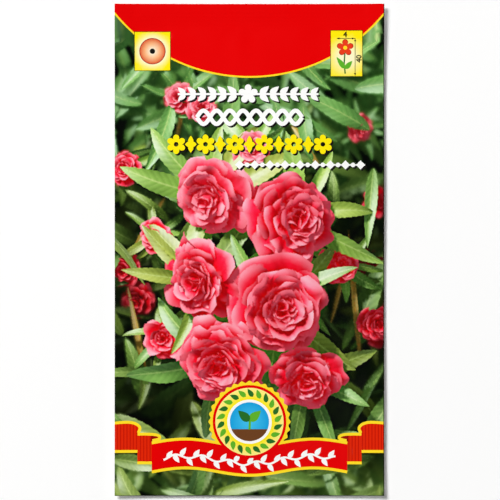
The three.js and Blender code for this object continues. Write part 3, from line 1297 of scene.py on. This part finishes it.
def edge_gaps(tree, start):
    """How far in from the packet's side edge and from its end edge a place lies."""
    parts = add(tree, "ShaderNodeSeparateXYZ", {0: object_place(tree)})
    gaps = []
    for axis, half in (("X", "Half width"), ("Y", "Half height")):
        out = maths(tree, "ABSOLUTE", parts.outputs[axis])
        gaps.append(maths(tree, "SUBTRACT", start.outputs[half], out))
    return gaps


def wear_group():
    """A few small nicks along the cut edge, where the film has worn off and white paper shows."""
    group, start, end = node_group(
        "Worn edge", [("Ink", (1, 1, 1, 1)), ("Half width", 0.04), ("Half height", 0.073),
                      ("Reach", 0.0003)],
        [("NodeSocketColor", "Ink")],
    )
    nearest = maths(group, "MINIMUM", *edge_gaps(group, start))
    gap = maths(group, "DIVIDE", nearest, start.outputs["Reach"])
    ragged = maths(group, "MULTIPLY_ADD", noise(group, object_place(group), 1100.0), 6.0, -3.9)
    worn = maths(group, "SUBTRACT", ragged, gap)
    worn = add(group, "ShaderNodeClamp", {0: maths(group, "MULTIPLY", worn, 2.0)}).outputs[0]
    blend = add(group, "ShaderNodeMix", data_type="RGBA")
    group.links.new(worn, blend.inputs["Factor"])
    group.links.new(start.outputs["Ink"], blend.inputs[6])
    blend.inputs[7].default_value = (0.8, 0.78, 0.74, 1)
    group.links.new(blend.outputs[2], end.inputs["Ink"])
    return group


def ribs_group():
    """The fine ribs that the heated jaws press into the seals, side by side with each edge."""
    group, start, end = node_group(
        "Seal ribs", [("Half width", 0.04), ("Half height", 0.073), ("Side seal", 0.005),
                      ("End seal", 0.007), ("Ribs per metre", 830.0)],
        [("NodeSocketFloat", "Height")],
    )
    ribs = []
    for gap, seal in zip(edge_gaps(group, start), ("Side seal", "End seal")):
        turn = maths(group, "MULTIPLY", gap, start.outputs["Ribs per metre"])
        wave = maths(group, "COSINE", maths(group, "MULTIPLY", turn, math.tau))
        inside = add(group, "ShaderNodeMapRange", {
            "Value": maths(group, "SUBTRACT", start.outputs[seal], gap),
            "From Min": 0.0, "From Max": 0.0008,
        }, interpolation_type="SMOOTHSTEP").outputs[0]
        ribs.append((wave, inside))
    (side_wave, in_side), (end_wave, in_end) = ribs
    side = maths(group, "MULTIPLY", side_wave, in_side)
    blend = add(group, "ShaderNodeMix", {"Factor": in_end, 2: side, 3: end_wave})
    group.links.new(blend.outputs[0], end.inputs["Height"])
    return group


def fibre_group():
    """Short pale and dark fibres, as in bare paper."""
    group, start, end = node_group(
        "Paper fibres", [("Paper", (1, 1, 1, 1)), ("Contrast", 0.12)],
        [("NodeSocketColor", "Paper"), ("NodeSocketFloat", "Height")],
    )
    place = object_place(group)
    stretched = add(group, "ShaderNodeMapping", {"Vector": place, "Scale": (1.0, 3.5, 1.0)})
    strands = noise(group, stretched.outputs[0], 1400.0, 4.0)
    value = varied(group, 1.0, start.outputs["Contrast"], strands)
    pass_shaded(group, start, end, "Paper", value)
    group.links.new(strands, end.inputs["Height"])
    return group


def seed_coat_group():
    """A dry seed coat: warts and wrinkles, dark in the hollows."""
    group, start, end = node_group(
        "Seed coat", [("Coat", (0.1, 0.05, 0.02, 1)), ("Wrinkles", 0.6)],
        [("NodeSocketColor", "Coat"), ("NodeSocketFloat", "Height")],
    )
    place = object_place(group)
    warts = add(group, "ShaderNodeTexVoronoi", {"Vector": place, "Scale": 3200.0})
    folds = noise(group, place, 1800.0, 5.0)
    height = maths(group, "MULTIPLY_ADD", folds, 0.6, warts.outputs["Distance"])
    value = varied(group, 1.0, start.outputs["Wrinkles"], height, 0.75)
    pass_shaded(group, start, end, "Coat", value)
    group.links.new(height, end.inputs["Height"])
    return group


def own_group(name, make):
    """The node group of that name, which is made the first time it is asked for."""
    return bpy.data.node_groups.get(name) or make()


def new_material(name):
    material = bpy.data.materials.new(name)
    material.use_nodes = True
    tree = material.node_tree
    return material, tree, tree.nodes["Principled BSDF"]


def place_group(tree, group, **values):
    """Places a node group in a material, with values of the material's own."""
    node = add(tree, "ShaderNodeGroup", node_tree=group)
    for label, value in values.items():
        node.inputs[label.replace("_", " ")].default_value = value
    return node


def bump(tree, shader, height, strength, distance):
    node = add(tree, "ShaderNodeBump",
               {"Height": height, "Strength": strength, "Distance": distance})
    tree.links.new(node.outputs[0], shader.inputs["Normal"])


def print_material(name, finish):
    """Ink under a clear film."""
    material, tree, shader = new_material(name)
    size = {"Half_width": HALF_WIDTH * MM, "Half_height": HALF_HEIGHT * MM}
    painted = add(tree, "ShaderNodeVertexColor", layer_name="ink").outputs["Color"]
    wear = place_group(tree, own_group("Worn edge", wear_group), **size)
    mottle = place_group(tree, own_group("Ink mottle", mottle_group))
    film = place_group(tree, own_group("Laminate film", film_group), Roughness=finish.roughness,
                       Peel=finish.peel)
    ribs = place_group(tree, own_group("Seal ribs", ribs_group), **size)
    tree.links.new(painted, wear.inputs["Ink"])
    tree.links.new(wear.outputs["Ink"], mottle.inputs["Ink"])
    tree.links.new(mottle.outputs["Ink"], shader.inputs["Base Color"])
    tree.links.new(film.outputs["Roughness"], shader.inputs["Roughness"])
    shader.inputs["Specular IOR Level"].default_value = finish.reflection
    shader.inputs["Coat Weight"].default_value = finish.coat
    shader.inputs["Coat Roughness"].default_value = FILM_ROUGHNESS
    height = maths(tree, "MULTIPLY_ADD", ribs.outputs["Height"], finish.ribs,
                   film.outputs["Height"])
    bump(tree, shader, height, 0.12, 0.00003)
    return material


def dull_material(name, group, roughness, relief=None, **values):
    """A dull surface. Its colour comes from a node group, and so does its relief, which is given
    as the strength and the depth of the bumps."""
    material, tree, shader = new_material(name)
    surface = place_group(tree, group, **values)
    tree.links.new(surface.outputs[0], shader.inputs["Base Color"])
    shader.inputs["Roughness"].default_value = roughness
    if relief:
        bump(tree, shader, surface.outputs["Height"], *relief)
    return material


def paper_material(name, colour):
    """Bare paper, as at the cut rim and on the sheet's inner side."""
    fibres = own_group("Paper fibres", fibre_group)
    return dull_material(name, fibres, 0.75, (0.3, 0.00002), Paper=(*colour, 1))


def coat_material():
    """The seeds' dry brown coat."""
    coat = own_group("Seed coat", seed_coat_group)
    return dull_material("seed coat", coat, 0.68, (0.6, 0.00008), Coat=(*ink(92, 58, 34), 1))


def floor_material(colour):
    """The floor's smooth pale paper."""
    fibres = own_group("Paper fibres", fibre_group)
    return dull_material("floor paper", fibres, 0.9, Paper=(*colour, 1), Contrast=0.01)


# The pieces

def laid_inks(paper, printed, inks):
    """The inks of the printed face's corners, with those of the print's shapes over them."""
    corners, triangles = printed
    shape = paper.shape_at(corners[triangles].mean(1))
    for number in np.unique(shape[shape >= 0]):
        mine = shape == number
        places = corners[triangles[mine]].reshape(-1, 2)
        inks[mine] = paper.ink_at(number, places).reshape(-1, 3, 3)
    return inks


def make_front(print_settings, finish):
    """The front sheet: the picture of the garden with the print's shapes over it."""
    garden = plant_picture(print_settings)
    picture, corner = take_picture(garden)
    paper = front_print(print_settings)
    spots = picture_spots(picture, corner, paper)
    printed = triangulate(rim_loop(FRONT_RIM_STEP), spots, paper.edges())
    corners, triangles = printed
    inks = laid_inks(paper, printed, look_up(picture, corner, corners)[triangles])
    piece = build_sheet("printed_front", front_top, front_low, printed, inks, True)
    piece.data.materials.append(print_material("front print", finish))
    piece.data.materials.append(paper_material("inner paper", INNER_PAPER))
    return piece


def make_back(print_settings, finish):
    """The back sheet: the sowing chart on a pale ground."""
    paper = back_print(print_settings)
    printed = triangulate(rim_loop(BACK_STEP), inner_grid(BACK_STEP), paper.edges())
    bare = np.broadcast_to(BACK_GROUND, (len(printed[1]), 3, 3)).copy()
    inks = laid_inks(paper, printed, bare)
    piece = build_sheet("printed_back", back_low, back_top, printed, inks, False)
    piece.data.materials.append(print_material("back print", finish))
    piece.data.materials.append(paper_material("inner paper back", INNER_PAPER))
    return piece


SEED_COUNT = 24
SEED_LENGTH, SEED_WIDTH, SEED_DEPTH = 2.9, 2.3, 2.0
SEED_TAPER = 0.16
SEED_SPIN = 2.3
SEED_SIDES, SEED_RINGS = 24, 14


def make_seed(number, material):
    """An egg lying on its side where the frame has it, with a wrinkled coat."""
    low, high = (np.array(corner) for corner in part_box(f"seed_{number + 1:02d}"))
    around_it = np.linspace(0, math.tau, SEED_SIDES, endpoint=False)
    from_tip = np.linspace(0, math.pi, SEED_RINGS + 1)[1:-1]
    along = np.concatenate([[0.5], np.repeat(0.5 * np.cos(from_tip), SEED_SIDES), [-0.5]])
    girth = np.concatenate([[0], np.repeat(0.5 * np.sin(from_tip), SEED_SIDES), [0]])
    angle = np.concatenate([[0], np.tile(around_it, SEED_RINGS - 1), [0]])
    wrinkle = np.sin(angle * 5 + along * 9 + number) * np.sin(along * 14 + number * 2)
    wide = girth * (1 - 2 * SEED_TAPER * along) * (1 + 0.02 * wrinkle - 0.02)
    points = np.stack([SEED_LENGTH * along, SEED_WIDTH * wide * np.cos(angle),
                       SEED_DEPTH * wide * np.sin(angle)], 1) * MM
    ring = lambda j, i: 1 + j * SEED_SIDES + i % SEED_SIDES
    last = len(points) - 1
    faces = []
    for i in range(SEED_SIDES):
        faces.append((0, ring(0, i), ring(0, i + 1)))
        faces.append((last, ring(SEED_RINGS - 2, i + 1), ring(SEED_RINGS - 2, i)))
        for j in range(SEED_RINGS - 2):
            faces.append((ring(j, i), ring(j + 1, i), ring(j + 1, i + 1), ring(j, i + 1)))
    mesh = bpy.data.meshes.new(f"loose_seed_{number + 1:02d}")
    mesh.from_pydata(points.tolist(), [], faces)
    mesh.polygons.foreach_set("use_smooth", np.ones(len(mesh.polygons), bool))
    mesh.materials.append(material)
    seed = new_object(mesh.name, mesh)
    seed.location = (low + high) / 2
    seed.rotation_euler.z = SEED_SPIN * number * GOLDEN_ANGLE
    return seed


# The studio

# In metres: the floor, the lights' places and sizes, and what the camera sees at the packet
FLOOR_HALF_WIDTH = 1.5
FLOOR_DROP = 0.00003
KEY_PLACE, KEY_SIZE = (-2.05, 2.19, 3.0), 1.8
FILL_PLACE, FILL_SIZE = (1.75, -1.75, 2.95), 2.6
VIEW_CENTRE = (0.00015, -0.00004, SEAL_HEIGHT * MM)
VIEW_WIDTH = 0.14847
SENSOR_WIDTH = 36.0

# Heights of a direction, as the sine of its rise, between which the surround goes dark
GLOW_LOW, GLOW_HIGH = 0.1, 0.42


def make_light(name, place, size, power, colour):
    """A round soft light, turned towards the packet."""
    light = bpy.data.lights.new(name, "AREA")
    light.shape = "DISK"
    light.size = size
    light.energy = power
    light.color = colour
    lamp = new_object(name, light)
    lamp.location = place
    lamp.rotation_euler = (-Vector(place)).to_track_quat("-Z", "Y").to_euler()


def make_surround(stage):
    """Pale low down all round and dark overhead, so that the print shows no haze from above."""
    world = bpy.data.worlds.new("studio")
    world.use_nodes = True
    tree = world.node_tree
    direction = add(tree, "ShaderNodeTexCoord").outputs["Generated"]
    height = add(tree, "ShaderNodeSeparateXYZ", {0: direction}).outputs["Z"]
    glow = add(tree, "ShaderNodeMapRange", {
        "Value": height, "From Min": GLOW_LOW, "From Max": GLOW_HIGH,
        "To Min": stage.surround, "To Max": 0.0,
    }, interpolation_type="SMOOTHSTEP")
    background = tree.nodes["Background"]
    background.inputs["Color"].default_value = (*stage.floor_colour, 1)
    tree.links.new(glow.outputs[0], background.inputs["Strength"])
    return world


def make_floor(stage):
    """A wide sheet of pale paper just under the packet."""
    mesh = bpy.data.meshes.new("floor")
    corners = box(0, 0, 2 * FLOOR_HALF_WIDTH, 2 * FLOOR_HALF_WIDTH)
    mesh.from_pydata([(x, y, -FLOOR_DROP) for x, y in corners.tolist()], [], [(0, 1, 2, 3)])
    mesh.materials.append(floor_material(stage.floor_colour))
    floor = new_object("floor", mesh)


def make_camera(stage):
    """A camera straight over the packet, as far off as its lens asks for."""
    camera_data = bpy.data.cameras.new("camera")
    camera_data.lens = stage.lens
    camera_data.sensor_width = SENSOR_WIDTH
    camera = new_object("camera", camera_data)
    x, y, z = VIEW_CENTRE
    camera.location = (x, y, z + VIEW_WIDTH * stage.lens / SENSOR_WIDTH)
    bpy.context.scene.camera = camera


def make_stage(stage):
    bpy.context.scene.view_settings.view_transform = "Standard"
    bpy.context.scene.world = make_surround(stage)
    make_floor(stage)
    make_light("key light", KEY_PLACE, KEY_SIZE, stage.key_power, (1.0, 0.995, 0.985))
    make_light("fill light", FILL_PLACE, FILL_SIZE, stage.fill_power, (0.975, 0.985, 1.0))
    make_camera(stage)


# The panel's settings, the operators and the panel

def colour_property(name, description, default):
    return FloatVectorProperty(name=name, description=description, default=tuple(default), size=3,
                               min=0, max=1, subtype="COLOR")


def share_property(name, description, default):
    return FloatProperty(name=name, description=description, default=default, min=0, max=1,
                         subtype="FACTOR")


class PacketPrintSettings(bpy.types.PropertyGroup):
    header_radius: FloatProperty(
        name="Header radius", description="Radius of the arc that ends the header",
        default=HEADER_RADIUS * MM, min=0.046, max=0.3, precision=4, unit="LENGTH",
    )
    header_ink: colour_property("Header", "Ink of the header and ribbon", RED)
    trim_ink: colour_property("Trim", "Ink of the lines round the header, ribbon and seal", GOLD)
    ornament_ink: colour_property("Ornament", "Ink of most rows of ornament", WHITE)
    accent_ink: colour_property("Accent", "Ink of the third row of ornament", YELLOW)
    petal_ink: colour_property("Petals", "Ink of the brightest petals", ink(240, 50, 78))
    leaf_ink: colour_property("Leaves", "Ink of the leaves round the blooms", ink(44, 110, 46))
    picture_seed: IntProperty(
        name="Growth", description="Another number grows other blooms and leaves",
        default=11, min=0,
    )


class PacketFinishSettings(bpy.types.PropertyGroup):
    roughness: share_property("Roughness", "Of the print under its film", 0.23)
    reflection: share_property("Reflection", "How strongly the print mirrors", 0.2)
    coat: share_property("Film", "Strength of the clear film's gloss", 0.05)
    peel: FloatProperty(name="Peel", description="Height of the film's fine waviness",
                        default=1.0, min=0, max=5)
    ribs: FloatProperty(name="Ribs", description="Height of the ribs pressed into the seals",
                        default=1.0, min=0, max=5)


class PacketStageSettings(bpy.types.PropertyGroup):
    floor_colour: colour_property("Floor", "Colour of the floor and surround", (0.98, 0.98, 0.98))
    key_power: FloatProperty(name="Key light", description="Power of the light at upper left",
                             default=205, min=0, unit="POWER")
    fill_power: FloatProperty(name="Fill light", description="Power of the light at lower right",
                              default=36, min=0, unit="POWER")
    surround: FloatProperty(name="Surround", description="Brightness low down all round",
                            default=0.97, min=0)
    lens: FloatProperty(name="Lens", description="Focal length", default=150, min=50, unit="CAMERA")


class PACKET_OT_stage(bpy.types.Operator):
    """Adds the floor, the lights and the camera"""
    bl_idname = "packet.stage"
    bl_label = "Studio"

    def execute(self, context):
        make_stage(context.scene.packet_stage)
        return {"FINISHED"}


class PACKET_OT_front(bpy.types.Operator):
    """Adds the front sheet with its printed picture, header, ribbon and seal"""
    bl_idname = "packet.front"
    bl_label = "Printed front"

    def execute(self, context):
        piece = make_front(context.scene.packet_print, context.scene.packet_finish)
        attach(piece, "root")
        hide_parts("front_sheet")
        return {"FINISHED"}


class PACKET_OT_back(bpy.types.Operator):
    """Adds the back sheet with its sowing chart"""
    bl_idname = "packet.back"
    bl_label = "Printed back"

    def execute(self, context):
        piece = make_back(context.scene.packet_print, context.scene.packet_finish)
        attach(piece, "root")
        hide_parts("back_sheet")
        return {"FINISHED"}


class PACKET_OT_seeds(bpy.types.Operator):
    """Adds the loose seeds between the sheets"""
    bl_idname = "packet.seeds"
    bl_label = "Seeds"

    def execute(self, context):
        material = coat_material()
        for number in range(SEED_COUNT):
            seed = make_seed(number, material)
            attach(seed, "root")
            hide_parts(f"seed_{number + 1:02d}")
        return {"FINISHED"}


class PACKET_PT_panel(bpy.types.Panel):
    """Lists the packet's settings and the steps that build it"""
    bl_label = "Seed packet"
    bl_idname = "PACKET_PT_panel"
    bl_space_type = "VIEW_3D"
    bl_region_type = "UI"
    bl_category = "Seed packet"

    def draw(self, context):
        for group in ("packet_print", "packet_finish", "packet_stage"):
            settings = getattr(context.scene, group)
            box_layout = self.layout.box()
            for name in settings.__annotations__:
                box_layout.prop(settings, name)
        for operator in OPERATORS:
            self.layout.operator(operator.bl_idname)


SETTINGS = {
    "packet_print": PacketPrintSettings,
    "packet_finish": PacketFinishSettings,
    "packet_stage": PacketStageSettings,
}
OPERATORS = (PACKET_OT_stage, PACKET_OT_front, PACKET_OT_back, PACKET_OT_seeds)


def register():
    for cls in (*SETTINGS.values(), *OPERATORS, PACKET_PT_panel):
        bpy.utils.register_class(cls)
    for name, cls in SETTINGS.items():
        setattr(bpy.types.Scene, name, PointerProperty(type=cls))


def unregister():
    for name in SETTINGS:
        delattr(bpy.types.Scene, name)
    for cls in reversed((*SETTINGS.values(), *OPERATORS, PACKET_PT_panel)):
        bpy.utils.unregister_class(cls)


def main():
    register()
    bpy.ops.packet.stage()
    bpy.ops.packet.front()
    bpy.ops.packet.back()
    bpy.ops.packet.seeds()
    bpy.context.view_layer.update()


if __name__ == "__main__":
    main()
